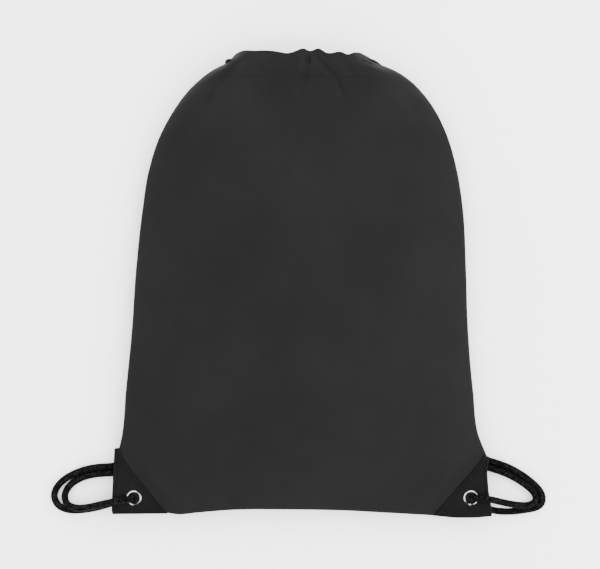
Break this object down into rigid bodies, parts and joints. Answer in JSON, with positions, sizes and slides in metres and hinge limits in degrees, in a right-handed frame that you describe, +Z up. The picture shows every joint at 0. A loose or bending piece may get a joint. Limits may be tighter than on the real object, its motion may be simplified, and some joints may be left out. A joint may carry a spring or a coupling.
{
  "type": "drawstring backpack",
  "caption": "Black drawstring backpack lying full and closed, with gathered mouth, reinforced bottom corners, metal eyelets and cord straps looped out at the corners.",
  "frame": {"origin": "middle of the bag's footprint on the surface it lies on, cords left out", "axes": "+Z up through the bag's thickness, +Y towards the mouth, +X to the bag's right seen from the front"},
  "size_m": [0.4495, 0.4175, 0.045],
  "materials": {
    "bag_cloth": "fine black nylon weave, slight sheen",
    "patch": "smooth black imitation leather",
    "thread": "black sewing thread",
    "eyelet_metal": "polished nickel",
    "cord": "braided black polyester cord"
  },
  "bodies": {
    "bag": {"front_panel": "bag_cloth", "back_panel": "bag_cloth", "front_casing": "bag_cloth", "back_casing": "bag_cloth", "front_casing_stitching": "thread", "back_casing_stitching": "thread", "bottom_seam_stitching": "thread", "side_seam_stitching_left": "thread", "corner_patch_front_left": "patch", "corner_patch_back_left": "patch", "patch_stitching_left": "thread", "eyelet_left": "eyelet_metal", "eyelet_washer_left": "eyelet_metal", "cord_knot_left": "cord", "drawcord_tail_front_left": "cord", "drawcord_tail_back_left": "cord", "side_seam_stitching_right": "thread", "corner_patch_front_right": "patch", "corner_patch_back_right": "patch", "patch_stitching_right": "thread", "eyelet_right": "eyelet_metal", "eyelet_washer_right": "eyelet_metal", "cord_knot_right": "cord", "drawcord_tail_front_right": "cord", "drawcord_tail_back_right": "cord"},
    "cord_left": {"drawcord_left": "cord"},
    "cord_right": {"drawcord_right": "cord"}
  },
  "joints": [
    {"name": "drawcord_left_pull", "type": "slide", "parent": "bag", "child": "cord_left", "axis": [-1, 0, 0], "range_m": [0, 0.006]},
    {"name": "drawcord_right_pull", "type": "slide", "parent": "bag", "child": "cord_right", "axis": [1, 0, 0], "range_m": [0, 0.006]}
  ]
}
